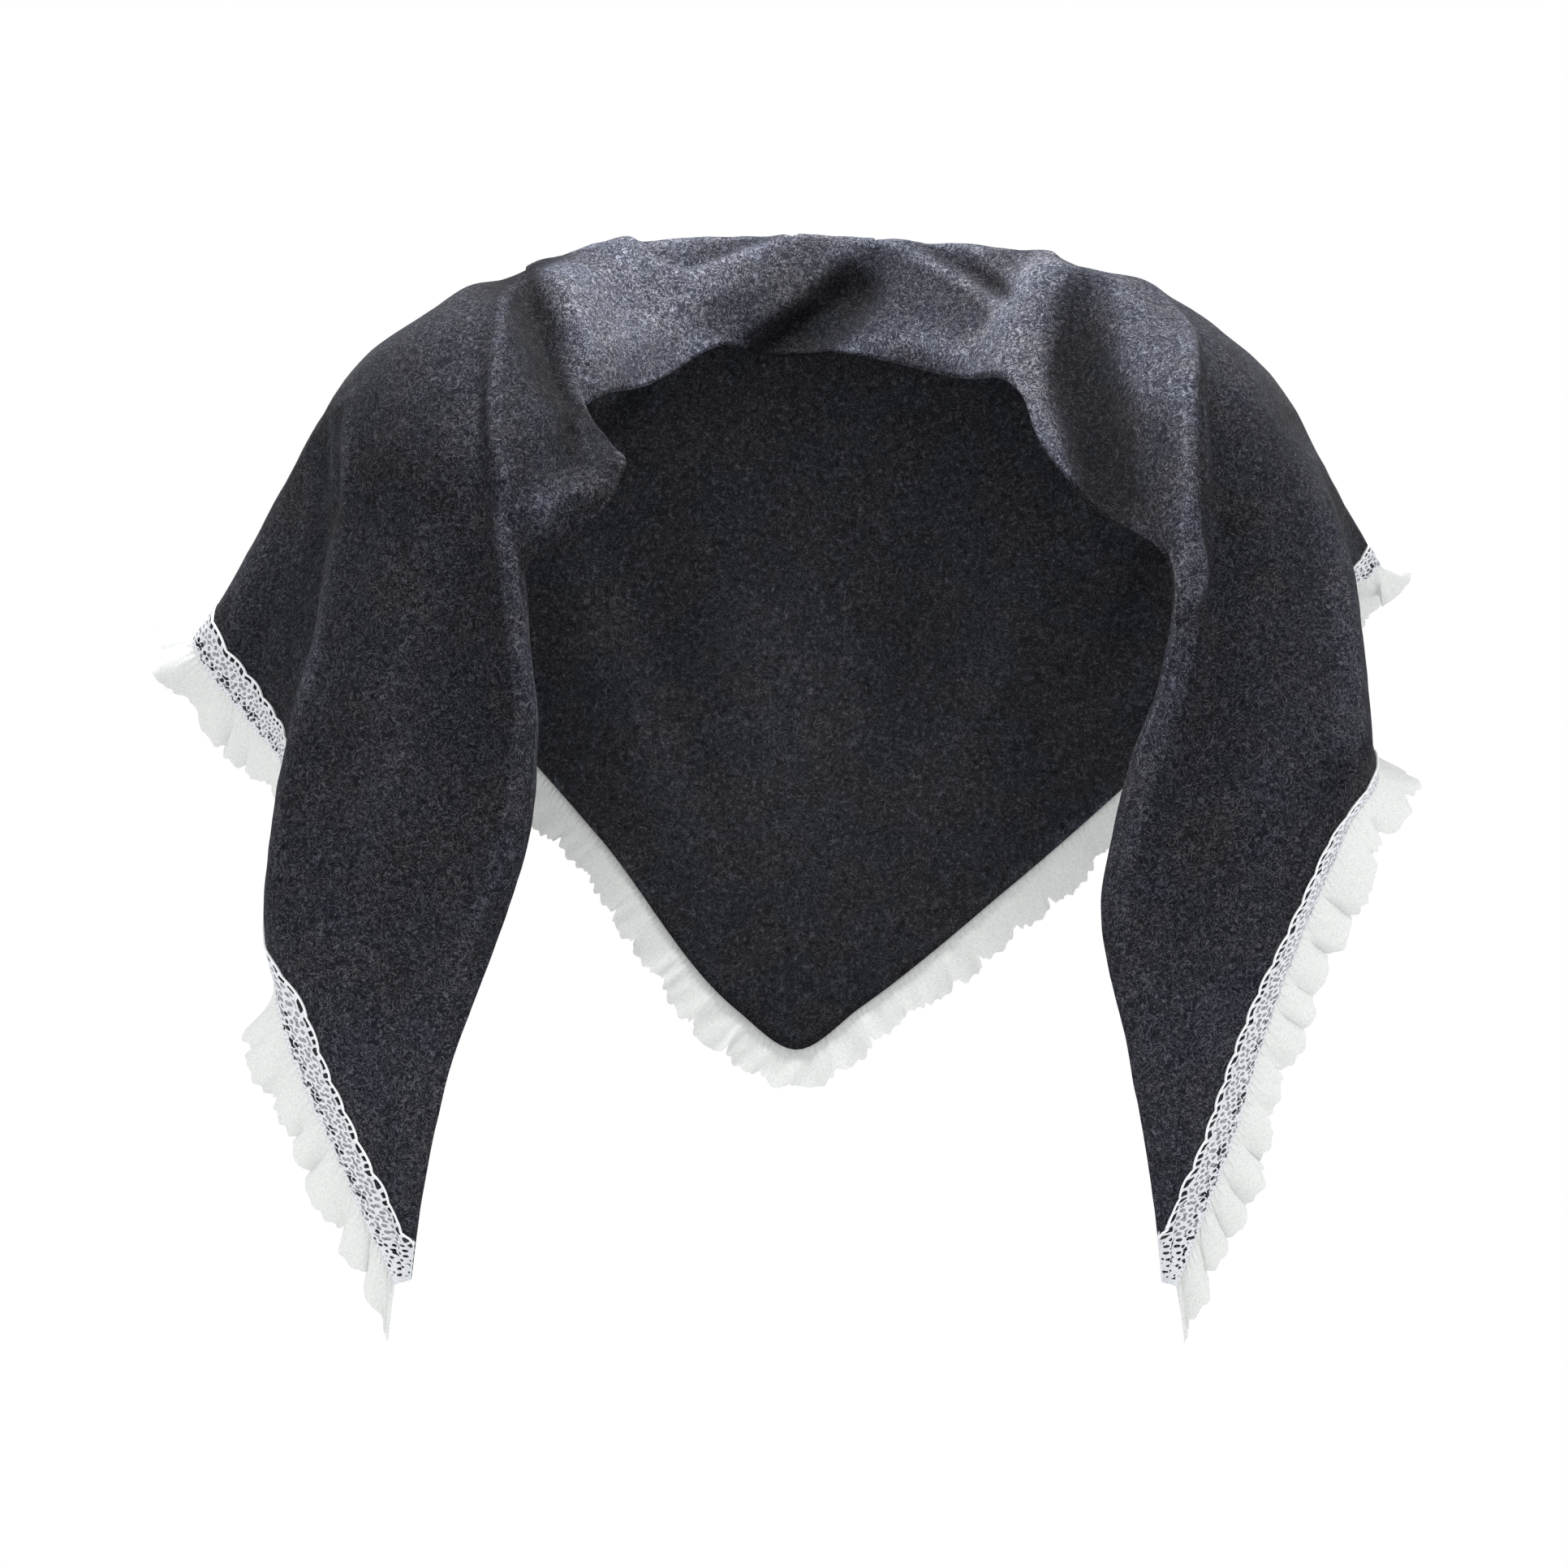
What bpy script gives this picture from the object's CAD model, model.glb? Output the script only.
# A triangular wool scarf with gathered lace on its two short edges, as worn with no wearer.
from collections import namedtuple

import bpy
import numpy as np
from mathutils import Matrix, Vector, noise


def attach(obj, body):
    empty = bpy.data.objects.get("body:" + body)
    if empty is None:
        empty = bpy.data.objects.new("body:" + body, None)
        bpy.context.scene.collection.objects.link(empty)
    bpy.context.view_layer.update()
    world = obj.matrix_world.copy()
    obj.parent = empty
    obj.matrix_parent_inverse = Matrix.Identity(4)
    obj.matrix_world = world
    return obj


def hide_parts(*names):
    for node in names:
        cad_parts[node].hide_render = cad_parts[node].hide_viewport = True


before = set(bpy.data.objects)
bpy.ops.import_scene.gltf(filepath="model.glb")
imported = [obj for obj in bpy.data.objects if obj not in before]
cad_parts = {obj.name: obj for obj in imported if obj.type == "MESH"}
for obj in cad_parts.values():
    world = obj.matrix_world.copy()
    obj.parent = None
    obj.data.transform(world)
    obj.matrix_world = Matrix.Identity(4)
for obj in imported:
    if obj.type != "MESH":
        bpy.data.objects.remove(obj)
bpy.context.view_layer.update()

for leftover in ("Cube", "Light", "Camera"):
    if leftover in bpy.data.objects:
        bpy.data.objects.remove(bpy.data.objects[leftover], do_unlink=True)

# ---- The wool triangle ------------------------------------------------------------------------
# One triangle of charcoal heather wool, brushed on its face until it feels like felt. Its long
# edge runs up one front, is turned over round the neck and runs down the other front. The other
# two edges carry the lace. Left and right are as seen from the front.
MM = 0.001
WOOL_THICK = 0.002
FACETS_ACROSS = (14, 16, 12, 12, 12, 10, 14)  # between each line of the net and the next
FACET_FINE, FACET = 2.3, 4.0  # millimetres along the scarf, round the neck and elsewhere

# The lines the cloth hangs by, in millimetres. Each row is a line across the cloth from its long
# edge to the lace hem; each column is one fold line along the scarf.
Rung = namedtuple("Rung", "place edge lapel roll trough panel outer tuck hem")
RUNGS = (
    Rung("left tip", (-196, -86, -485), (-197, -87, -485), (-198, -88, -485.5), (-199, -87.5, -486),
         (-200, -88, -486), (-201, -87, -486.5), (-202, -86.5, -487), (-203, -86, -487)),
    Rung("left tail", (-187, -90, -427), (-191, -92, -426.5), (-197, -95, -426), (-205, -94, -424),
         (-215, -97, -422), (-224, -95, -420), (-230, -92, -419), (-234.5, -88, -417.5)),
    Rung("left low", (-174, -93, -372), (-178, -96, -371), (-185, -99, -370), (-196, -97, -368),
         (-215, -101, -365), (-236, -99, -361), (-250, -95, -358), (-260.5, -88, -356)),
    Rung("left middle", (-154, -95, -319), (-160, -100, -318), (-169, -104, -317), (-183, -101, -315),
         (-214, -105, -311), (-253, -101, -308), (-268, -88, -311), (-262, -68, -322)),
    Rung("left high", (-137, -96, -266), (-140, -102, -265), (-150, -106, -264), (-167, -102, -264),
         (-208, -106, -262), (-259, -94, -261), (-265, -72, -262), (-252, -46, -266)),
    Rung("left chest", (-133, -95, -209), (-134, -102, -208), (-141, -107, -207), (-158, -98, -206),
         (-202, -100, -205), (-252, -84, -205), (-255, -50, -210), (-265, -8, -225)),
    Rung("left breast", (-139, -97, -152), (-140, -102, -153), (-146, -106, -154), (-159, -96, -155),
         (-199, -96, -156), (-239, -74, -156), (-241, -36, -164), (-282, 18, -206)),
    Rung("left lapel foot", (-134, -99, -122), (-139, -102, -124), (-148, -105, -126), (-160, -93, -126),
         (-197, -93, -126), (-235, -66, -124), (-239, -29, -132), (-297, 32, -188)),
    Rung("left lapel low", (-102, -96, -101), (-122, -101, -104), (-148, -103, -106), (-161, -90, -105),
         (-196, -90, -104), (-231, -60, -101), (-237, -24, -112), (-308, 38, -175)),
    Rung("left lapel", (-88, -90, -79), (-114, -99, -78), (-149, -101, -75), (-161, -90, -72),
         (-194, -88, -69), (-229, -54, -68), (-238, -14, -84), (-314, 44, -164)),
    Rung("left lapel top", (-92, -76, -64), (-114, -80, -46), (-148, -75, -13), (-160, -63, -9),
         (-192, -57, -13), (-230, -26, -31), (-257, 14, -69), (-306, 58, -158)),
    Rung("left shoulder", (-107, -55, -45), (-118, -46, -10), (-139, -18, 30), (-158, -8, 25),
         (-188.5, -4, 6.5), (-222.5, 12, -25.5), (-260, 46, -89), (-280, 72, -172)),
    Rung("left back", (-77, -4, -31), (-82, 6, 2), (-102, 30, 43), (-130, 60, 14),
         (-166, 80, -32), (-194, 92, -88), (-206, 99, -138), (-199, 98, -176)),
    Rung("left nape", (-36, 30, -8), (-36, 38, 20), (-38, 60, 48), (-54, 85, 12),
         (-73, 98, -68), (-88, 104, -142), (-99, 105, -210), (-104, 101, -265.5)),
    Rung("centre left", (-10, 36, -10), (-11, 44, 18), (-11, 66, 49), (-15, 88, 10),
         (-20, 102, -80), (-24, 107, -168), (-29, 106, -257), (-33, 102, -355)),
    Rung("centre", (0, 37, -10), (0, 45, 18), (0, 67, 49), (0, 89, 10),
         (-1, 102, -82), (-1, 108, -172), (-2, 106, -268), (-2, 102, -376)),
    Rung("centre right", (12, 36, -10), (12, 44, 18), (12, 66, 49), (16, 88, 10),
         (20, 102, -81), (25, 107, -170), (30, 106, -260), (32, 102, -354)),
    Rung("right nape", (40, 30, -16), (39, 38, 15), (36, 62, 48.5), (54, 86, 12),
         (76, 99, -72), (94, 104, -150), (106, 104, -224), (112, 101, -289.5)),
    Rung("right back", (81, -4, -28), (90, 6, 6), (107, 30, 39.5), (136, 60, 13),
         (170, 80, -32), (198, 91, -86), (213, 97, -140), (220, 96, -194)),
    Rung("right shoulder", (112, -54, -38), (138, -22, 20), (179, -2, 15.5), (198, 2, 8.5),
         (222, 8, -8.5), (244, 18, -32.5), (265, 42, -81), (285, 72, -141)),
    Rung("right lapel", (125, -74, -70), (142, -58, -38), (195, -75, -33), (207, -63, -35),
         (232, -52, -43), (259, -19, -62), (279, 14, -90), (302, 58, -123)),
    Rung("right lapel low", (155, -88, -99), (164, -84, -88), (198, -97, -83), (209, -85, -83),
         (235, -75, -85), (267, -38, -91), (279, 4, -104), (296, 50, -128)),
    Rung("right lapel foot", (185, -98, -124), (189, -100, -124), (198, -103, -125), (208, -92, -125),
         (238, -86, -124), (276, -46, -120), (277, -6, -128), (282, 40, -139)),
    Rung("right breast", (187, -97, -153), (190, -101, -153), (197, -104, -154), (209, -96, -154),
         (240, -92, -153), (281, -56, -152), (279, -12, -158), (266, 24, -174)),
    Rung("right chest", (181, -97, -185), (184, -101, -185), (192, -104, -185), (205, -98, -186),
         (240, -97, -187), (284, -66, -187), (284, -24, -193), (267, 10, -201)),
    Rung("right high", (166, -98, -226), (170, -104, -226), (179, -107, -226), (193, -102, -226),
         (234, -104, -226), (279, -91, -225), (289, -72, -226), (291, -50, -227)),
    Rung("right middle", (152, -96, -295), (156, -101, -294), (163, -105, -292), (178, -102, -289),
         (210, -105, -283), (247, -99, -276), (264, -94, -269), (275, -86, -258.5)),
    Rung("right low", (165, -92, -368), (168, -96, -367), (174, -100, -366), (184, -98, -363),
         (200, -101, -359), (221, -97, -353), (233, -93, -350), (239, -88, -344)),
    Rung("right tail", (176, -89, -429), (179, -92, -428.5), (183, -94, -427.5), (189, -93, -426),
         (197, -95, -424), (205, -93, -422), (211, -91, -420), (216, -88, -418)),
    Rung("right tip", (183, -86, -486), (183.5, -87, -486), (184, -88, -486.5), (185, -87.5, -487),
         (186, -88, -487), (187, -87, -487.5), (188, -86.5, -488), (189, -86, -488)),
)
PLACE = {rung.place: number for number, rung in enumerate(RUNGS)}
LINE = {line: number for number, line in enumerate(Rung._fields[1:])}
NET = np.array([rung[1:] for rung in RUNGS]) * MM


def knots(points):
    """Where each line of the net lies, by its mean distance from the first line."""
    steps = np.linalg.norm(np.diff(points, axis=0), axis=2).mean(axis=1)
    return np.concatenate([[0.0], np.cumsum(steps)])


def smooth(values, at_knots, places):
    """Values along the first axis of an array, read from a smooth curve through them."""
    gaps = np.diff(at_knots)
    shape = (-1,) + (1,) * (values.ndim - 1)
    slopes = np.diff(values, axis=0) / gaps.reshape(shape)
    before, after = gaps[:-1].reshape(shape), gaps[1:].reshape(shape)
    inner = (slopes[:-1] * after + slopes[1:] * before) / (before + after)
    tangents = np.concatenate([slopes[:1], inner, slopes[-1:]])
    i = np.clip(np.searchsorted(at_knots, places, side="right") - 1, 0, len(gaps) - 1)
    gap = gaps[i].reshape(shape)
    t = (places - at_knots[i]).reshape(shape) / gap
    start, end = values[i], values[i + 1]
    return (
        (2 * t**3 - 3 * t**2 + 1) * start + (t**3 - 2 * t**2 + t) * gap * tangents[i]
        + (3 * t**2 - 2 * t**3) * end + (t**3 - t**2) * gap * tangents[i + 1]
    )


def unit(vectors):
    return vectors / np.maximum(np.linalg.norm(vectors, axis=-1, keepdims=True), 1e-12)


def grid_normals(points):
    """Normals of a grid of points, on the cloth's face side."""
    return unit(np.cross(np.gradient(points, axis=0), np.gradient(points, axis=1)))


def spread(at_knots, counts):
    """Places along the knots, with so many evenly spaced steps from each knot to the next."""
    steps = [np.linspace(*ends, n, endpoint=False)
             for *ends, n in zip(at_knots, at_knots[1:], counts)]
    return np.append(np.concatenate(steps), at_knots[-1])


rung_knots, line_knots = knots(NET), knots(NET.transpose(1, 0, 2))
round_neck = range(PLACE["left lapel foot"], PLACE["right lapel foot"])
facets_along = [round(gap / MM / (FACET_FINE if number in round_neck else FACET))
                for number, gap in enumerate(np.diff(rung_knots))]
along = spread(rung_knots, facets_along)
across = spread(line_knots, FACETS_ACROSS)
rungs_fine = smooth(NET, rung_knots, along)
cloth = smooth(rungs_fine.transpose(1, 0, 2), line_knots, across).transpose(1, 0, 2)
at_rung = np.interp(along, rung_knots, range(len(RUNGS)))[:, None]
at_line = np.interp(across, line_knots, range(NET.shape[1]))[None, :]

# The creases that the weight of the cloth presses into it. Each path runs upwards, or to the
# right, through (x, z, share of the height), in millimetres as seen from the front. The height is
# out of the cloth's face, and the two widths are how far it reaches to the path's left and right.
Crease = namedtuple("Crease", "first last inner outer height left right path")
CREASES = (
    # the left lapel, thrown over the shoulder, with a sharp fall on its far side
    Crease("left lapel low", "left nape", "edge", "panel", 7.0, 3.5, 21,
           ((-100, -48, 0.1), (-106, -38, 0.8), (-114, -10, 1), (-127, 21, 0.7), (-134, 34, 0))),
    Crease("left lapel top", "left back", "lapel", "trough", -8.0, 12, 12,
           ((-172, 14, 0.2), (-158, 24, 0.6), (-140, 34, 1), (-124, 41, 0.9), (-108, 46, 0.1))),
    Crease("left lapel low", "left nape", "edge", "outer", -12.0, 19, 4.5,
           ((-111, -46, 0.3), (-117, -26, 0.9), (-124, -4, 1), (-133, 16, 0.8), (-139, 28, 0.2))),
    Crease("left lapel foot", "left shoulder", "edge", "trough", -6.5, 10, 17,
           ((-121, -88, 0.3), (-116, -72, 1), (-113, -56, 1), (-112, -40, 0.4))),
    Crease("left lapel low", "left lapel top", "edge", "roll", -3.5, 9, 9,
           ((-91, -90, 0.4), (-93, -76, 1), (-97, -62, 0.8))),
    Crease("left shoulder", "left nape", "edge", "lapel", 3.5, 14, 14,
           ((-104, -30, 0.2), (-92, -14, 1), (-78, -6, 0.9), (-60, 3, 0.3))),
    Crease("left breast", "left lapel top", "edge", "roll", 6.0, 11, 8,
           ((-141, -110, 0.3), (-131, -101, 1), (-119, -94, 1), (-106, -87, 0.7), (-96, -80, 0.2))),
    Crease("left chest", "left back", "edge", "outer", 2.2, 4, 6,
           ((-130, -225, 0.2), (-134, -197, 0.7), (-141, -152, 1), (-148, -103, 1), (-147, -92, 1),
            (-152, -60, 0.8), (-159, -20, 0.3))),
    Crease("left breast", "left shoulder", "roll", "outer", 3.0, 14, 6,
           ((-164, -128, 0.2), (-163, -100, 1), (-164, -60, 1), (-168, -20, 0.5))),
    Crease("left breast", "left shoulder", "panel", "tuck", 3.2, 2.4, 2.5,
           ((-237, -100, 0.4), (-236, -75, 1), (-236, -44, 0.5))),
    Crease("left breast", "left shoulder", "panel", "outer", 2.8, 2.4, 3,
           ((-229, -104, 0.2), (-228, -75, 1), (-228, -40, 0.6))),
    Crease("left high", "left lapel low", "panel", "tuck", 2.6, 2.8, 5,
           ((-254, -212, 0.4), (-247, -185, 1), (-241, -160, 1), (-236, -103, 0.7))),
    # the left front
    Crease("left low", "left middle", "trough", "outer", 0.9, 5, 4,
           ((-238, -318, 0.2), (-222, -322, 1), (-206, -330, 0.2))),
    Crease("left low", "left middle", "trough", "outer", 0.8, 4, 5,
           ((-234, -340, 0.2), (-220, -343, 1), (-202, -349, 0.1))),
    Crease("left tail", "left chest", "lapel", "panel", -1.6, 14, 18,
           ((-212, -400, 0.2), (-205, -340, 1), (-196, -280, 0.8), (-190, -230, 0.2))),
    Crease("left middle", "left lapel foot", "trough", "outer", 2.0, 22, 16,
           ((-214, -300, 0.1), (-206, -250, 1), (-202, -190, 1), (-204, -130, 0.2))),
    # the left flap, that hangs over the arm
    Crease("left high", "left lapel", "outer", "hem", 1.6, 3, 4,
           ((-270, -145, 0.3), (-256, -142, 1), (-241, -141, 0.3))),
    Crease("left chest", "left lapel", "outer", "hem", -1.6, 8, 10,
           ((-283, -190, 0.2), (-276, -150, 1), (-262, -110, 0.6))),
    Crease("left chest", "left shoulder", "tuck", "hem", 2.2, 10, 9,
           ((-294, -176, 0.4), (-288, -140, 1), (-276, -104, 0.7), (-262, -80, 0.1))),
    # the strip turned over behind the neck
    Crease("left shoulder", "centre right", "lapel", "roll", 6.0, 3.5, 15,
           ((-89, 45, 0.5), (-75, 30.5, 1), (-61, 25.5, 1), (-37, 34, 1), (-8, 46, 0.4))),
    Crease("left back", "centre", "lapel", "roll", -2.0, 8, 4,
           ((-84, 45, 0.4), (-70, 35, 1), (-54, 34, 0.9), (-36, 41, 0.5))),
    Crease("left back", "centre left", "edge", "lapel", 1.2, 12, 14,
           ((-56, 2, 0.5), (-36, 14, 1), (-20, 28, 0.6))),
    Crease("left nape", "right nape", "edge", "roll", -13.0, 8, 17,
           ((-26, -14, 0.8), (-11, -3, 1), (7, 11, 1), (22, 26, 1), (31, 38, 0.2))),
    Crease("left nape", "right nape", "edge", "roll", -6.0, 10, 12,
           ((0, -14, 0.7), (14, -1, 1), (29, 16, 1), (41, 34, 0.5))),
    Crease("right nape", "right lapel", "edge", "roll", 2.6, 4, 5,
           ((50, 43, 0.4), (66, 34, 1), (82, 25, 1), (107, 6, 0.4))),
    Crease("right nape", "right lapel", "edge", "roll", -5.5, 5, 7,
           ((66, 44, 0.4), (88, 32, 1), (106, 16, 0.9), (114, 4, 0.3))),
    Crease("right nape", "right shoulder", "edge", "lapel", 5.0, 14, 10,
           ((38, -6, 0.6), (62, -10, 1), (88, -18, 0.8))),
    Crease("right nape", "right lapel", "edge", "trough", 7.5, 13, 7,
           ((105, -40, 0.2), (108, -25, 0.9), (111, -10, 1), (118, 10, 1), (129, 30, 0.6))),
    # the right lapel and the knife fold beside it
    Crease("right breast", "right back", "edge", "roll", -13.0, 16, 17,
           ((158, -128, 0.1), (154, -92, 0.7), (147, -50, 1), (143, -20, 1), (143, 13, 0.6))),
    Crease("right lapel low", "right shoulder", "edge", "lapel", 3.0, 6, 9,
           ((138, -88, 0.5), (126, -68, 1), (114, -46, 0.8))),
    Crease("right breast", "right back", "lapel", "panel", 4.5, 14, 3.5,
           ((187, -154, 0.2), (197, -142, 0.8), (196, -107, 1), (196, -45, 1), (196, -6, 0.9),
            (180, 19, 0.4))),
    Crease("right high", "right shoulder", "panel", "tuck", 5.0, 12, 6,
           ((279, -212, 0.6), (276, -168, 1), (273, -130, 1), (268, -110, 0.8), (258, -73, 0.4))),
    Crease("right chest", "right back", "trough", "outer", -2.5, 14, 14,
           ((222, -165, 0.1), (226, -120, 1), (222, -70, 1), (214, -30, 0.3))),
    # the right front
    Crease("right middle", "right breast", "trough", "outer", 2.4, 20, 24,
           ((226, -290, 0.1), (238, -240, 1), (250, -190, 0.6), (252, -150, 0.1))),
    Crease("right low", "right chest", "roll", "outer", -1.8, 14, 12,
           ((190, -370, 0.1), (196, -310, 1), (206, -250, 0.8), (212, -200, 0.1))),
    Crease("right low", "right high", "panel", "tuck", 1.2, 7, 9,
           ((236, -330, 0.1), (252, -296, 1), (270, -262, 0.3))),
    # the back panel, where the cloth hangs free from the shoulder blades
    Crease("left back", "centre left", "trough", "hem", 2.8, 20, 22,
           ((-40, -300, 0.2), (-70, -220, 1), (-112, -120, 0.9), (-140, -50, 0.2))),
    Crease("left back", "centre", "trough", "hem", -1.5, 16, 18,
           ((-20, -290, 0.1), (-42, -200, 1), (-66, -110, 0.8), (-84, -30, 0.2))),
    Crease("left nape", "centre right", "trough", "hem", 1.4, 20, 16,
           ((-4, -320, 0.1), (-10, -220, 1), (-16, -120, 0.7), (-14, -40, 0.1))),
    Crease("centre", "right back", "trough", "hem", -1.6, 18, 17,
           ((22, -300, 0.1), (40, -210, 0.8), (58, -130, 1), (70, -40, 0.2))),
    Crease("centre right", "right back", "trough", "hem", 1.9, 19, 23,
           ((52, -290, 0.2), (84, -210, 1), (118, -120, 0.8), (146, -50, 0.2))),
    Crease("left shoulder", "left nape", "trough", "hem", -2.0, 12, 14,
           ((-150, -200, 0.2), (-172, -130, 1), (-186, -70, 0.5))),
    Crease("right nape", "right shoulder", "trough", "hem", -2.2, 14, 12,
           ((150, -210, 0.2), (178, -130, 1), (196, -70, 0.5))),
)
FADE = 0.6  # how far past its first and last line a crease dies away, in lines of the net
PATH_STEPS = 25  # points along each crease's path
UNEVEN, UNEVEN_FINE = (0.9, 32), (0.35, 95)  # its height in millimetres, and how many to a metre


def within(values, low, high):
    """1 between two lines of the net, and a smooth fade to 0 just outside them."""
    inside = np.clip(1 + np.minimum(values - low, high - values) / FADE, 0, 1)
    return inside * inside * (3 - 2 * inside)


def crease_height(crease, x, z):
    """How far a crease lifts each point of the cloth, in millimetres."""
    path = np.array(crease.path, dtype=float)
    steps = np.insert(np.cumsum(np.hypot(*np.diff(path[:, :2], axis=0).T)), 0, 0)
    path = smooth(path, steps, np.linspace(0, steps[-1], PATH_STEPS))
    nearest = np.full(x.shape, np.inf)
    side, share = np.zeros(x.shape), np.zeros(x.shape)
    for (x0, z0, s0), (x1, z1, s1) in zip(path, path[1:]):
        run = max((x1 - x0) ** 2 + (z1 - z0) ** 2, 1e-9)
        t = np.clip(((x - x0) * (x1 - x0) + (z - z0) * (z1 - z0)) / run, 0, 1)
        distance = np.hypot(x - x0 - t * (x1 - x0), z - z0 - t * (z1 - z0))
        closer = distance < nearest
        nearest = np.where(closer, distance, nearest)
        side = np.where(closer, (x1 - x0) * (z - z0) - (z1 - z0) * (x - x0), side)
        share = np.where(closer, s0 + t * (s1 - s0), share)
    width = np.where(side > 0, crease.left, crease.right)
    return crease.height * share * np.exp(-((nearest / width) ** 2))


def drape(points):
    """The cloth with its creases and a faint unevenness all over, and the creases' heights."""
    normals = grid_normals(points)
    x, z = points[..., 0] / MM, points[..., 2] / MM
    height = np.zeros(x.shape)
    for crease in CREASES:
        part = within(at_rung, *sorted((PLACE[crease.first], PLACE[crease.last])))
        part = part * within(at_line, LINE[crease.inner], LINE[crease.outer])
        height += part * crease_height(crease, x, z)
    uneven = np.empty(x.shape)
    for row, column in np.ndindex(uneven.shape):
        spot = Vector(points[row, column])
        uneven[row, column] = sum(high * noise.noise(spot * often)
                                  for high, often in (UNEVEN, UNEVEN_FINE))
    return points + normals * ((height + uneven) * MM)[..., None], height


SHARP_FOLD = 22.0  # the bend, as a radius in millimetres, where the nap starts to be rubbed up


def fold_edges(points):
    """1 along the cloth's sharp outward folds, and 0 where it is flat or hollow."""
    ahead = np.roll(points, -2, axis=1) - points
    behind = np.roll(points, 2, axis=1) - points
    ahead[:, -2:] = 0
    behind[:, :2] = 0
    spans = np.linalg.norm(ahead, axis=-1) * np.linalg.norm(behind, axis=-1)
    curve = -((ahead + behind) * grid_normals(points)).sum(axis=-1) / np.maximum(spans, 1e-7)
    return np.clip(curve * SHARP_FOLD * MM - 1, 0, 1)


cloth, crease_heights = drape(cloth)
face = grid_normals(cloth)

mesh = bpy.data.meshes.new("wool_triangle")
index = np.arange(cloth.shape[0] * cloth.shape[1]).reshape(cloth.shape[:2])
quads = np.stack([index[:-1, :-1], index[1:, :-1], index[1:, 1:], index[:-1, 1:]], axis=-1)
mesh.from_pydata(cloth.reshape(-1, 3).tolist(), [], quads.reshape(-1, 4).tolist())
mesh.shade_smooth()

# The nap stands up pale on the crests and on the strip turned over round the neck, where it is
# rubbed, and lies flat and dark in the hollows. 0 is the nap as it was brushed.
RUBBED = 5.0  # the height in millimetres that is rubbed half the way
COLLAR_NAP, LAPEL_NAP, EDGE_NAP, FOLD_NAP = 0.06, 0.47, 0.4, 0.4
COLLAR_START, COLLAR_DEEP, EDGE_DEEP = 0.2, 0.6, 0.05  # in lines of the net
FRONT_NAP, BACK_NAP, BACK_FALL = 0.4, 0.2, 0.5  # on the tails, and down the back
FRONT_LOW, BACK_LOW = (-0.22, 0.15), (-0.12, 0.25)  # from this height, and over this much below
FLATTEST, MOST_RAISED = -0.9, 0.75
turned = within(at_rung, PLACE["left shoulder"] - COLLAR_START, PLACE["right lapel"])
turned = turned * within(at_line, LINE["edge"], LINE["lapel"] + COLLAR_DEEP)
rubbed = crease_heights * abs(crease_heights) / (crease_heights**2 + RUBBED**2)
worn_edge = within(at_rung, PLACE["left back"], PLACE["right lapel"])
worn_edge = worn_edge * within(at_line, LINE["edge"], LINE["edge"] + EDGE_DEEP)
worn_edge = worn_edge * np.clip(1 + rubbed, 0, 1)
lapels = turned * (1 - within(at_rung, PLACE["left nape"], PLACE["right back"]))
lapels = lapels * np.clip(1 + rubbed, 0, 1)
front_low, back_low = (np.clip((top - cloth[..., 2]) / over, 0, 1)
                       for top, over in (FRONT_LOW, BACK_LOW))
handled = np.where(cloth[..., 1] < 0, FRONT_NAP * front_low,
                   (BACK_NAP - BACK_FALL * back_low) * (1 - turned))
lie = COLLAR_NAP * turned + LAPEL_NAP * lapels + EDGE_NAP * worn_edge + rubbed
lie = lie + FOLD_NAP * (1 - front_low) * fold_edges(cloth) + handled
nap = mesh.attributes.new("nap", "FLOAT", "POINT")
nap.data.foreach_set("value", np.clip(lie, FLATTEST, MOST_RAISED).ravel().astype(np.float32))
wool = bpy.data.objects.new("wool_triangle", mesh)
bpy.context.scene.collection.objects.link(wool)


def apply(piece, kind, **settings):
    """Adds a modifier to a piece and applies it."""
    modifier = piece.modifiers.new(kind.lower(), kind)
    for name, value in settings.items():
        setattr(modifier, name, value)
    bpy.ops.object.select_all(action="DESELECT")
    piece.select_set(True)
    bpy.context.view_layer.objects.active = piece
    bpy.ops.object.modifier_apply(modifier=modifier.name)


def linear(hex_colour):
    """An sRGB hex colour as the linear colour that a shader takes."""
    parts = [int(hex_colour[i:i + 2], 16) / 255 for i in (1, 3, 5)]
    return [p / 12.92 if p <= 0.04045 else ((p + 0.055) / 1.055) ** 2.4 for p in parts] + [1.0]


def add(tree, kind, links=None, values=None, **settings):
    """Adds a node, with its settings, its sockets' values and its links from other nodes."""
    node = tree.nodes.new(kind)
    for name, value in settings.items():
        setattr(node, name, value)
    for name, value in (values or {}).items():
        node.inputs[name].default_value = value
    for name, source in (links or {}).items():
        tree.links.new(source, node.inputs[name])
    return node


def ramp(node, stops):
    """Sets a colour ramp's stops from (place, hex colour) pairs."""
    elements = node.color_ramp.elements
    while len(elements) > 1:
        elements.remove(elements[-1])
    elements[0].position, elements[0].color = stops[0][0], linear(stops[0][1])
    for place, colour in stops[1:]:
        elements.new(place).color = linear(colour)
    return node


FLECK = 0.0026  # the loose fibres' flecks, across
FIBRE = 0.0048  # one fibre's curl
NAP_LIGHT = 4.0  # how many times paler the raised nap is, and the flat nap darker
MOTTLE = 0.028  # patches where the dyed fibres lie more to blue or more to brown
NAP_HIGH = 0.0007  # how far the flecks stand up


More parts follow.
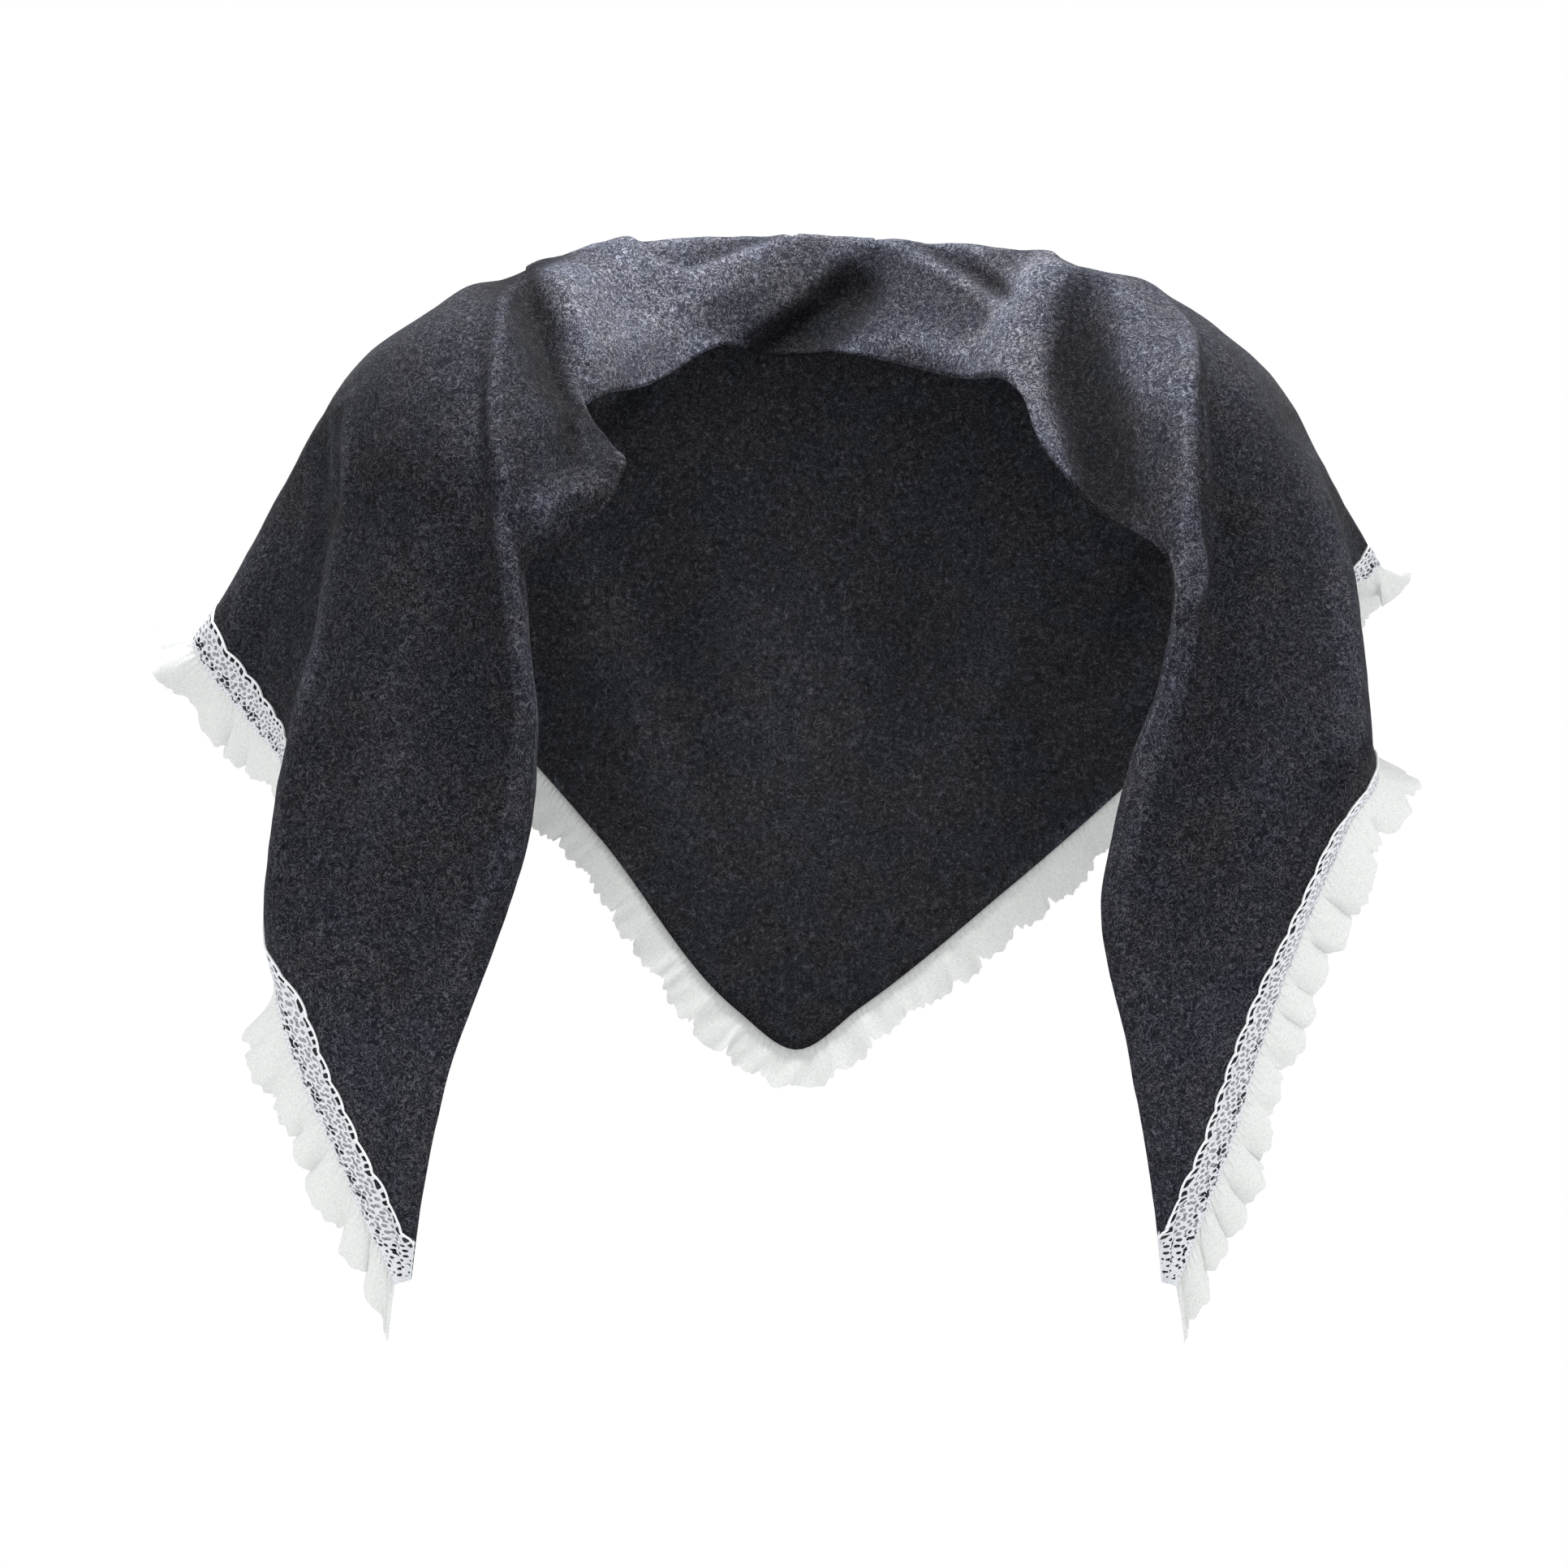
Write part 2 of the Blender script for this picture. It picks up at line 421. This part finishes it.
def heather_wool(name, dark, body, light, fibre, sheen, fibre_share):
    """Woollen cloth spun from mixed charcoal fibres and brushed: matt, with a soft sheen at
    grazing angles, dark and light flecks about a millimetre across, and pale curled fibres."""
    material = bpy.data.materials.new(name)
    material.use_nodes = True
    tree = material.node_tree
    shader = tree.nodes["Principled BSDF"]
    place = add(tree, "ShaderNodeTexCoord").outputs["Object"]
    flecks = add(tree, "ShaderNodeTexNoise", {"Vector": place},
                 {"Scale": 1 / FLECK, "Detail": 4.0, "Roughness": 0.7})
    tones = ramp(add(tree, "ShaderNodeValToRGB", {"Fac": flecks.outputs["Fac"]}),
                 ((0.32, dark), (0.45, body), (0.56, body), (0.68, light)))
    curls = add(tree, "ShaderNodeTexNoise", {"Vector": place},
                {"Scale": 1 / FIBRE, "Detail": 2.0, "Roughness": 0.5, "Distortion": 2.6})
    strands = ramp(add(tree, "ShaderNodeValToRGB", {"Fac": curls.outputs["Fac"]}),
                   ((0.46, "#000000"), (0.5, "#FFFFFF"), (0.54, "#000000")))
    patches = add(tree, "ShaderNodeTexNoise", {"Vector": place},
                  {"Scale": 1 / MOTTLE, "Detail": 2.0, "Roughness": 0.5})
    hue = ramp(add(tree, "ShaderNodeValToRGB", {"Fac": patches.outputs["Fac"]}),
               ((0.35, "#F4F7FF"), (0.65, "#FFFCFA")))
    strand_share = add(tree, "ShaderNodeMath", {0: strands.outputs["Color"]},
                       {1: fibre_share}, operation="MULTIPLY")
    haired = add(tree, "ShaderNodeMix", {0: strand_share.outputs[0], 6: tones.outputs["Color"]},
                 {7: linear(fibre)}, data_type="RGBA")
    tone = add(tree, "ShaderNodeMix", {6: haired.outputs[2], 7: hue.outputs["Color"]},
               {0: 1.0}, data_type="RGBA", blend_type="MULTIPLY")
    lifted = add(tree, "ShaderNodeAttribute", attribute_name="nap")
    raised = add(tree, "ShaderNodeMath", {1: lifted.outputs["Fac"]}, {0: NAP_LIGHT},
                 operation="POWER")
    tone = add(tree, "ShaderNodeVectorMath", {0: tone.outputs[2], "Scale": raised.outputs[0]},
               operation="SCALE")
    nap = add(tree, "ShaderNodeBump", {"Height": flecks.outputs["Fac"]},
              {"Strength": 0.55, "Distance": NAP_HIGH})
    tree.links.new(tone.outputs[0], shader.inputs["Base Color"])
    tree.links.new(nap.outputs["Normal"], shader.inputs["Normal"])
    shader.inputs["Roughness"].default_value = 0.95
    shader.inputs["Specular IOR Level"].default_value = 0.06
    shader.inputs["Sheen Weight"].default_value = sheen
    shader.inputs["Sheen Roughness"].default_value = 0.45
    shader.inputs["Sheen Tint"].default_value = linear("#CBCCD2")
    return material


# Dark charcoal with a blue cast on the brushed face, a plainer near-black on the wrong side.
mesh.materials.append(heather_wool("heather_wool_brushed_face", "#0A0A0D", "#17181D", "#383A40",
                                   "#78787D", 0.05, 0.3))
mesh.materials.append(heather_wool("heather_wool_wrong_side", "#0E0E11", "#212226", "#46474D",
                                   "#76777D", 0.03, 0.3))
apply(wool, "SOLIDIFY", thickness=WOOL_THICK, offset=0.0, use_rim=True, material_offset=1)
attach(wool, "root")
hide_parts("left_fall", "left_shoulder", "nape_fold", "back_panel", "right_shoulder",
            "right_fall")

# ---- The lace ---------------------------------------------------------------------------------
# One strip of white cotton lace sewn on the face along the hem. Its inner part lies flat on the
# wool: a corded, scalloped heading over short bars, and a crocheted net with a row of holes. Its
# outer part is gathered into the hem seam and falls past the hem as a soft ruffle.
LACE_THICK = 0.5  # millimetres, as are all the lace's sizes
LACE_LIFT = 0.45  # the middle of the lace above the wool's face
CELL = 0.62  # how finely the pattern is cut
BAND = 20.5  # the flat part, from the hem to the scallops' tops
SCALLOP, SCALLOP_DEPTH = 16.5, 1.7
CORD, CORD_LIFT = 0.6, 0.35  # the corded edge's radius, and its middle above the lace's
BRIDE_PITCH, BRIDE, BRIDE_LONG = 5.2, 1.7, 3.4  # the bars under the heading
LOOP_PITCH, LOOP, LOOP_THREAD = 3.9, 1.7, 1.0  # the crocheted loops of the net
HOLE_PITCH, HOLE_LONG, HOLE_HIGH, HOLE_MIDDLE = 9.1, 3.3, 2.1, 5.3  # the row of holes
HOLE_THREAD = 0.45  # how much thinner the threads are that cross a hole
TIP_THREAD = 0.6  # how much thicker they are at the scarf's tips
HOLES_END = 25.0  # how far from the scarf's tips the holes close up and the net thickens
RIM = 0.45  # half the thread between the bars and the net
SEAM_TOP = 2.2  # the seam that holds the gathers
STITCH_PITCH, STITCH_MIDDLE, STITCH = 2.6, 1.3, 0.45  # its row of needle holes
TULLE_DROP = 0.15  # the tulle ground below the middle of the net
LACE_CLEAR, SELVEDGE = 0.8, 1.3  # back from the wool's long edge, and the firm edge there
FOLDED_END = 3.0  # the strip's two ends, folded double round the tips
RUFFLE = 25.0  # how far the ruffle falls
PLEAT = 22.0  # the ruffle's pleats, along the hem
PLEAT_DEPTH, PLEAT_SLIP = 3.0, 4.2
LOBE = 8.0  # how far each pleat's free edge rounds out
FREE_PITCH, FREE_DEPTH = 6.3, 2.0  # the small scallops along the free edge
GATHER_PITCH, GATHER_DEPTH, GATHER_FALL = 3.1, 0.5, 0.35  # the gathers, and how far they run
CRUMPLE, RAGGED = 0.9, 0.8
EASED, EASED_SHORT = 0.65, 2.5  # how much flatter and shorter it hangs on the straight back
DROOP, TIP_DROOP, TIP_REACH = 0.45, 5.5, 35.0  # its own weight, and more of it near the tips
TAIL, TAIL_WIDE = 3.0, 13.0  # how much longer the ruffle's two ends are
THROWN_OUT = (  # the stretches where it stands out from its fall, and which way
    ("left low", "left low", (-0.5, 0, 0.1)), ("left high", "left middle", (-0.9, 0, 0.1)),
    ("left lapel low", "left lapel", (-0.6, 0, 0.5)),
    ("left lapel top", "left shoulder", (-1.6, 0, 1)),
    ("right shoulder", "right lapel", (0.3, 0.6, 0.9)),
    ("right lapel low", "right lapel foot", (0.2, 0.4, 0.8)),
    ("right breast", "right breast", (-1, 0, 0.3)), ("right chest", "right high", (1.2, 0, 0.6)),
    ("right middle", "right low", (0.2, 0, 0.1)),
)

hem_u = np.insert(np.cumsum(np.linalg.norm(np.diff(cloth[:, -1], axis=0), axis=1)), 0, 0) / MM
inward = cloth[:, ::-1]
reach = np.cumsum(np.linalg.norm(np.diff(inward, axis=1), axis=2), axis=1) / MM
reach = np.insert(reach, 0, 0, axis=1)
DEEP_STEP, DEEPEST = 0.5, 24.0
deep = np.arange(0, DEEPEST + DEEP_STEP, DEEP_STEP)
column_numbers, row_numbers = np.arange(len(across)), np.arange(len(along))
columns_at = len(across) - 1 - np.array([np.interp(deep, row, column_numbers) for row in reach])


def sample(grid, row, column):
    """Values read from a grid between its points."""
    i = np.clip(row.astype(int), 0, grid.shape[0] - 2)
    j = np.clip(column.astype(int), 0, grid.shape[1] - 2)
    s, t = row - i, column - j
    if grid.ndim == 3:
        s, t = s[..., None], t[..., None]
    return ((1 - s) * (1 - t) * grid[i, j] + s * (1 - t) * grid[i + 1, j]
            + (1 - s) * t * grid[i, j + 1] + s * t * grid[i + 1, j + 1])


def on_wool(u, v, lift):
    """The place above the wool's face at u along the hem and v in from it, all in millimetres."""
    row = np.interp(u, hem_u, row_numbers)
    column = sample(columns_at, row, v / DEEP_STEP)
    out_of_face = WOOL_THICK / 2 + np.asarray(lift)[..., None] * MM
    return sample(cloth, row, column) + sample(face, row, column) * out_of_face


def soften(values, radius):
    """Values along a line, each averaged with its neighbours."""
    weights = np.hanning(2 * radius + 1)[1:-1]
    padded = np.pad(values, ((radius - 1, radius - 1), (0, 0)), mode="edge")
    smoothed = [np.convolve(column, weights / weights.sum(), "valid") for column in padded.T]
    return np.stack(smoothed, axis=1)


HEM_SOFT = 9  # rows of the cloth
hem_face = unit(soften(face[:, -1], HEM_SOFT))
hem_run = unit(soften(np.gradient(cloth[:, -1], axis=0), HEM_SOFT))
hem_out = unit(np.cross(hem_face, hem_run))


def near_tip(u, reach):
    """1 at the scarf's two tips, and 0 well away from them."""
    return np.exp(-((np.minimum(u, hem_u[-1] - u) / reach) ** 2))


rows = at_rung[:, 0]
hang = DROOP + (TIP_DROOP - DROOP) * near_tip(hem_u, TIP_REACH)
hem_fall = hem_out - hang[:, None] * (0, 0, 1)
for first, last, thrown in THROWN_OUT:
    hem_fall += within(rows, PLACE[first], PLACE[last])[:, None] * thrown
hem_fall = unit(hem_fall)
hem_slip = unit(np.cross(hem_fall, hem_face))
hem_eased = within(rows, PLACE["left back"], PLACE["right back"])


def along_hem(values, u):
    """A vector for each place along the hem, read from one for each row of the cloth."""
    return np.stack([np.interp(u, hem_u, column) for column in values.T], axis=-1)


def ruffle_point(u, w):
    """The ruffle at u along the hem, and w of the way from the seam to its free edge."""
    turn = 2 * np.pi * (u / PLEAT + 0.3 * np.sin(u / 43) + 0.2 * np.sin(u / 19 + 1)
                        + 0.08 * np.sin(u / 8.3 + 2))
    lobe = (turn / (2 * np.pi) + 0.5) % 1
    lobe = np.sqrt(np.sin(np.pi * lobe)) * (0.85 + 0.15 * lobe)
    tip = near_tip(u, TAIL_WIDE)
    scallop = np.abs(np.sin(np.pi * (u + 1.9 * np.sin(u / 9)) / FREE_PITCH)) ** 0.6
    size = 0.85 + 0.25 * np.sin(u / 29) + 0.2 * np.sin(u / 11.3 + 2)
    ragged = RAGGED * np.sin(u / 0.83 + 2 * np.sin(u / 5.1))
    fall = RUFFLE - LOBE * (1 - size * lobe) * (1 - tip) + TAIL * tip
    fall -= EASED_SHORT * np.interp(u, hem_u, hem_eased)
    fall = (fall + FREE_DEPTH * scallop + ragged) * w
    opening = w * (1.3 - 0.3 * w) * (1 - tip)
    gathers = GATHER_DEPTH * np.sin(2 * np.pi * u / GATHER_PITCH + np.sin(u / 5))
    gathers = gathers * np.exp(-((w / GATHER_FALL) ** 2))
    crumple = CRUMPLE * w * np.sin(u / 1.9 + 3 * w + 2 * np.sin(u / 7)) * np.sin(u / 13 + 2 * w)
    start = on_wool(u, np.zeros_like(u), np.full_like(u, LACE_LIFT))
    opening = opening * (1 - EASED * np.interp(u, hem_u, hem_eased))
    out = opening * size * PLEAT_DEPTH * np.cos(turn) + gathers + crumple
    slip = opening * size * PLEAT_SLIP * np.sin(turn)
    return (start + along_hem(hem_fall, u) * (fall * MM)[..., None]
            + along_hem(hem_face, u) * (out * MM)[..., None]
            + along_hem(hem_slip, u) * (slip * MM)[..., None])


def bars(place, pitch, width):
    """Evenly spaced bars: above 0 on a bar, by the distance to its side."""
    return width / 2 - np.abs((place / pitch + 0.5) % 1 - 0.5) * pitch


def scallop_edge(u):
    """The middle of the corded edge, in from the hem."""
    worked = u + 1.6 * np.sin(u / 23)
    return BAND - CORD - SCALLOP_DEPTH * (1 - np.abs(np.sin(np.pi * worked / SCALLOP)) ** 0.7)


def nearest_loop(u, v):
    """How far each place is from the middle of the nearest loop of the crocheted ground."""
    line, place = np.floor(v / LOOP_PITCH), u / LOOP_PITCH
    nearest = np.full(u.shape, np.inf)
    for down in (-1, 0, 1):
        for over in (-1, 0, 1):
            row = line + down
            at = np.floor(place - row / 2) + over
            middle_u = (at + row / 2 + 0.5 + 0.28 * np.sin(12.9 * at + 78.2 * row)) * LOOP_PITCH
            middle_v = (row + 0.5 + 0.28 * np.sin(39.3 * at + 11.1 * row)) * LOOP_PITCH
            nearest = np.minimum(nearest, np.hypot(u - middle_u, v - middle_v))
    return nearest


def holes(u, v):
    """Above 0 outside the row of holes, which the worker's hand has left uneven."""
    at = np.floor(u / HOLE_PITCH)
    middle = (at + 0.5 + 0.22 * np.sin(7.7 * at)) * HOLE_PITCH
    size = (1.0 + 0.35 * np.sin(4.1 * at + 1)) * (1 - near_tip(u, HOLES_END))
    shift = HOLE_MIDDLE + 0.7 * np.sin(2.9 * at)
    return np.hypot((u - middle) / HOLE_LONG, (v - shift) / HOLE_HIGH) - size


def lace_pattern(u, v):
    """Above 0 where there is thread, at u along the hem and v in from it."""
    edge = scallop_edge(u)
    net_top = edge - BRIDE_LONG
    brides = bars(u + 1.3 * np.sin(u / 3.7) + 0.5 * (edge - v), BRIDE_PITCH, BRIDE)
    brides = np.minimum(brides, np.minimum(edge - v, v - net_top))
    wide = LOOP_THREAD + TIP_THREAD * near_tip(u, HOLES_END)
    wide = wide - HOLE_THREAD * np.clip(-3 * holes(u, v), 0, 1)
    net = wide / 2 - np.abs(nearest_loop(u, v) - LOOP)
    net = np.minimum(np.minimum(net, net_top - v), v - SEAM_TOP)
    rim = RIM - np.abs(v - net_top + 0.5 * np.sin(u / 1.7))
    from_stitch = (u / STITCH_PITCH + 0.5) % 1 * STITCH_PITCH - STITCH_PITCH / 2
    seam = np.minimum(SEAM_TOP + 0.5 * np.sin(u / 2.3) - v,
                      np.hypot(from_stitch, v - STITCH_MIDDLE) - STITCH)
    return np.maximum.reduce([CORD - np.abs(v - edge), brides, net, rim, seam])


def ground_pattern(u, v):
    """Above 0 where the fine tulle lies that the net is worked on."""
    inside = np.minimum(v - SEAM_TOP, scallop_edge(u) - BRIDE_LONG - v)
    return np.minimum(inside, holes(u, v))


def cut_pattern(u_places, v_places, pattern):
    """Cuts a pattern out of a flat strip. Gives the points (u, v) and the faces of what is left,
    with each cell trimmed along the line where the pattern is 0."""
    u, v = np.meshgrid(u_places, v_places, indexing="ij")
    depth = pattern(u, v)
    rows, columns = depth.shape
    number = np.arange(rows * columns).reshape(rows, columns)
    flat = np.stack([u, v], axis=-1)

    def crossings(a, b):
        share = np.clip(depth[a] / np.where(depth[a] == depth[b], 1, depth[a] - depth[b]), 0, 1)
        return flat[a] + share[..., None] * (flat[b] - flat[a])

    down = crossings((slice(None, -1),), (slice(1, None),))
    over = crossings((slice(None), slice(None, -1)), (slice(None), slice(1, None)))
    down_number = number.size + np.arange(down.shape[0] * columns).reshape(-1, columns)
    over_number = down_number.size + number.size + np.arange(rows * (columns - 1)).reshape(rows, -1)
    points = np.concatenate([flat.reshape(-1, 2), down.reshape(-1, 2), over.reshape(-1, 2)])
    corners = [number[:-1, :-1], number[1:, :-1], number[1:, 1:], number[:-1, 1:]]
    sides = [down_number[:, :-1], over_number[1:], down_number[:, 1:], over_number[:-1]]
    kept = depth > 0
    here = [kept[:-1, :-1], kept[1:, :-1], kept[1:, 1:], kept[:-1, 1:]]
    case = sum(corner.astype(int) << place for place, corner in enumerate(here))
    faces = []
    for shape in range(1, 16):
        ring = []
        for place in range(4):
            if shape >> place & 1:
                ring.append(corners[place])
            if (shape >> place & 1) != (shape >> (place + 1) % 4 & 1):
                ring.append(sides[place])
        chosen = case == shape
        faces += np.stack([part[chosen] for part in ring], axis=1).tolist()
    used = np.unique(np.concatenate([np.array(f) for f in faces]))
    renumber = np.zeros(len(points), dtype=int)
    renumber[used] = np.arange(len(used))
    return points[used], [renumber[f].tolist() for f in faces]


def cord_tube(u, v, radius, sides=6):
    """A round cord along the wool's face."""
    middle = on_wool(u, v, np.full_like(u, LACE_LIFT + CORD_LIFT))
    run = unit(np.gradient(middle, axis=0))
    up = along_hem(hem_face, u)
    aside = unit(np.cross(up, run))
    up = np.cross(run, aside)
    turns = np.arange(sides) * 2 * np.pi / sides
    points = [middle + radius * MM * (np.cos(t) * aside + np.sin(t) * up) for t in turns]
    points = np.stack(points, axis=1)
    number = np.arange(len(u) * sides).reshape(len(u), sides)
    around = np.roll(number, -1, axis=1)
    faces = np.stack([number[:-1], around[:-1], around[1:], number[1:]], axis=-1)
    return points.reshape(-1, 3), faces.reshape(-1, 4).tolist()


TWIST, TWIST_HIGH = 0.0009, 0.0003  # one turn of the thread, and how far it stands up
MESH, MESH_FILL = 0.0012, 0.6  # the sheer net's meshes


def cotton(name, colour, cover):
    """Mercerised cotton thread: bright white and matt. A sheer net of it is too fine to show
    thread by thread, so it lets light through: it covers this much, from its meshes to its
    threads."""
    material = bpy.data.materials.new(name)
    material.use_nodes = True
    tree = material.node_tree
    shader = tree.nodes["Principled BSDF"]
    place = add(tree, "ShaderNodeTexCoord").outputs["Object"]
    twist = add(tree, "ShaderNodeTexNoise", {"Vector": place},
                {"Scale": 1 / TWIST, "Detail": 2.0, "Roughness": 0.6})
    tones = ramp(add(tree, "ShaderNodeValToRGB", {"Fac": twist.outputs["Fac"]}),
                 ((0.3, colour[0]), (0.6, colour[1])))
    relief = add(tree, "ShaderNodeBump", {"Height": twist.outputs["Fac"]},
                 {"Strength": 0.25, "Distance": TWIST_HIGH})
    tree.links.new(tones.outputs["Color"], shader.inputs["Base Color"])
    tree.links.new(relief.outputs["Normal"], shader.inputs["Normal"])
    shader.inputs["Roughness"].default_value = 0.8
    shader.inputs["Specular IOR Level"].default_value = 0.2
    shader.inputs["Sheen Weight"].default_value = 0.15
    if cover[0] < 1:
        meshes = add(tree, "ShaderNodeTexVoronoi", {"Vector": place}, {"Scale": 1 / MESH})
        open_net = add(tree, "ShaderNodeMapRange", {"Value": meshes.outputs["Distance"]},
                       {"From Min": 0.0, "From Max": MESH_FILL,
                        "To Min": cover[0], "To Max": cover[1]})
        tree.links.new(open_net.outputs["Result"], shader.inputs["Alpha"])
    return material


thread = cotton("white_cotton_lace_thread", ("#C6C9CE", "#DCDFE3"), (1.0, 1.0))
heavy_thread = cotton("white_cotton_cord", ("#E4E6E9", "#F6F7F8"), (1.0, 1.0))
sheer = cotton("white_cotton_sheer_ruffle", ("#D0D2D1", "#E0E2E0"), (0.9, 1.0))
tulle = cotton("white_cotton_tulle_ground", ("#C6C9CE", "#DCDFE3"), (0.1, 0.5))

Stretch = namedtuple("Stretch", "name first last")
STRETCHES = (
    Stretch("lace_left_front", "left tip", "left high"),
    Stretch("lace_left_flap", "left high", "left lapel top"),
    Stretch("lace_back_left", "left lapel top", "centre"),
    Stretch("lace_back_right", "centre", "right shoulder"),
    Stretch("lace_right_flap", "right shoulder", "right high"),
    Stretch("lace_right_front", "right high", "right tip"),
)


RUFFLE_STEP, RUFFLE_ROWS = 1.15, 25  # the ruffle's facets along the hem, and down its fall
HEADING_STEP, TULLE_STEP = 1.1, 0.9


def make_stretch(stretch):
    """One stretch of the lace: its flat band, the cord on the band's edge, and its ruffle."""
    rungs = [rung_knots[PLACE[place]] for place in (stretch.first, stretch.last)]
    start, end = np.interp(rungs, along, hem_u)
    fine = np.linspace(start, end, round((end - start) / CELL) + 1)
    width = np.interp(fine, hem_u, reach[:, -1])

    def pattern(u, v):
        inside = np.interp(u, fine, width) - LACE_CLEAR - v
        threads = np.minimum(lace_pattern(u, v), inside)
        selvedge = np.minimum(inside, SELVEDGE - inside)
        folded_end = np.minimum(inside, FOLDED_END - np.minimum(u, hem_u[-1] - u))
        return np.maximum(threads, np.maximum(selvedge, folded_end))

    cut, faces = cut_pattern(fine, np.arange(0, BAND + 2 * CELL, CELL), pattern)
    points = [on_wool(cut[:, 0], cut[:, 1], np.full(len(cut), LACE_LIFT))]
    slots = [0] * len(faces)
    coarse = np.linspace(start, end, round((end - start) / RUFFLE_STEP) + 1)
    u, w = np.meshgrid(coarse, np.linspace(0, 1, RUFFLE_ROWS), indexing="ij")
    number = len(points[0]) + np.arange(u.size).reshape(u.shape)
    points.append(ruffle_point(u.ravel(), w.ravel()))
    quads = np.stack([number[:-1, 1:], number[1:, 1:], number[1:, :-1], number[:-1, :-1]], axis=-1)
    faces += quads.reshape(-1, 4).tolist()
    slots += [1] * (len(faces) - len(slots))
    mesh = bpy.data.meshes.new(stretch.name)
    mesh.from_pydata(np.concatenate(points).tolist(), [], faces)
    mesh.materials.append(thread)
    mesh.materials.append(sheer)
    mesh.polygons.foreach_set("material_index", slots)
    mesh.shade_smooth()
    piece = bpy.data.objects.new("ruffled_" + stretch.name, mesh)
    bpy.context.scene.collection.objects.link(piece)
    apply(piece, "SOLIDIFY", thickness=LACE_THICK * MM, offset=0.0, use_rim=True)
    bpy.ops.object.shade_smooth_by_angle(angle=0.9)

    heading = np.linspace(start, end, round((end - start) / HEADING_STEP) + 1)
    heading = heading[np.interp(heading, hem_u, reach[:, -1]) > BAND + 1]
    ground, ground_faces = cut_pattern(heading, np.arange(0, BAND, TULLE_STEP), ground_pattern)
    ground = on_wool(ground[:, 0], ground[:, 1], np.full(len(ground), LACE_LIFT - TULLE_DROP))
    bpy.ops.object.select_all(action="DESELECT")
    for name, points, faces, cotton_used in (
        ("cord", *cord_tube(heading, scallop_edge(heading), CORD), heavy_thread),
        ("ground", ground, ground_faces, tulle),
    ):
        part_mesh = bpy.data.meshes.new(name)
        part_mesh.from_pydata(points.tolist(), [], faces)
        part_mesh.materials.append(cotton_used)
        part_mesh.shade_smooth()
        part = bpy.data.objects.new(name + "_" + stretch.name, part_mesh)
        bpy.context.scene.collection.objects.link(part)
        part.select_set(True)
    piece.select_set(True)
    bpy.context.view_layer.objects.active = piece
    bpy.ops.object.join()
    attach(piece, "root")
    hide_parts(stretch.name)
    return piece


laces = [make_stretch(stretch) for stretch in STRETCHES]

# ---- Floor, light and camera --------------------------------------------------------------------
# A plain pale floor well below the scarf, a soft white room, a soft box overhead, and two low
# fills that lift the outer folds on each side.
FLOOR_WIDE, FLOOR_BELOW = 4.0, 1.3
bpy.ops.mesh.primitive_circle_add(vertices=96, radius=FLOOR_WIDE, fill_type="NGON",
                                  location=(0, 0, 0))
floor = bpy.context.object
floor.name = "floor"
for vertex in floor.data.vertices:
    vertex.co.z = -FLOOR_BELOW
paint = bpy.data.materials.new("pale_matt_floor")
paint.use_nodes = True
paint.node_tree.nodes["Principled BSDF"].inputs["Base Color"].default_value = linear("#D8D8D8")
paint.node_tree.nodes["Principled BSDF"].inputs["Roughness"].default_value = 1.0
floor.data.materials.append(paint)

room = bpy.data.worlds.new("white_room")
room.use_nodes = True
room.node_tree.nodes["Background"].inputs["Color"].default_value = (1, 1, 1, 1)
room.node_tree.nodes["Background"].inputs["Strength"].default_value = 1.0
bpy.context.scene.world = room
bpy.context.scene.view_settings.view_transform = "Standard"


def soft_box(name, place, aim, size, power):
    """A square soft light, aimed at a point."""
    lamp = bpy.data.lights.new(name, "AREA")
    lamp.size = size
    lamp.energy = power
    box = bpy.data.objects.new(name, lamp)
    box.location = place
    box.rotation_euler = (Vector(aim) - Vector(place)).to_track_quat("-Z", "Y").to_euler()
    bpy.context.scene.collection.objects.link(box)


soft_box("overhead", (0.0, -0.11, 0.48), (0.0, 0.0, 0.0), 0.2, 10.5)
soft_box("left_fill", (-0.75, -0.5, -0.6), (-0.24, -0.08, -0.36), 0.35, 1.4)
soft_box("right_fill", (0.8, -0.5, -0.4), (0.26, -0.07, -0.28), 0.35, 1.6)

eye = bpy.data.cameras.new("eye")
eye.lens = 178.7
eye.sensor_width = 36.0
eye.clip_end = 50.0
camera = bpy.data.objects.new("eye", eye)
camera.location = (-0.0079, -4.0, -0.236)
camera.rotation_euler = (np.pi / 2, 0.0, 0.0)
bpy.context.scene.collection.objects.link(camera)
bpy.context.scene.camera = camera
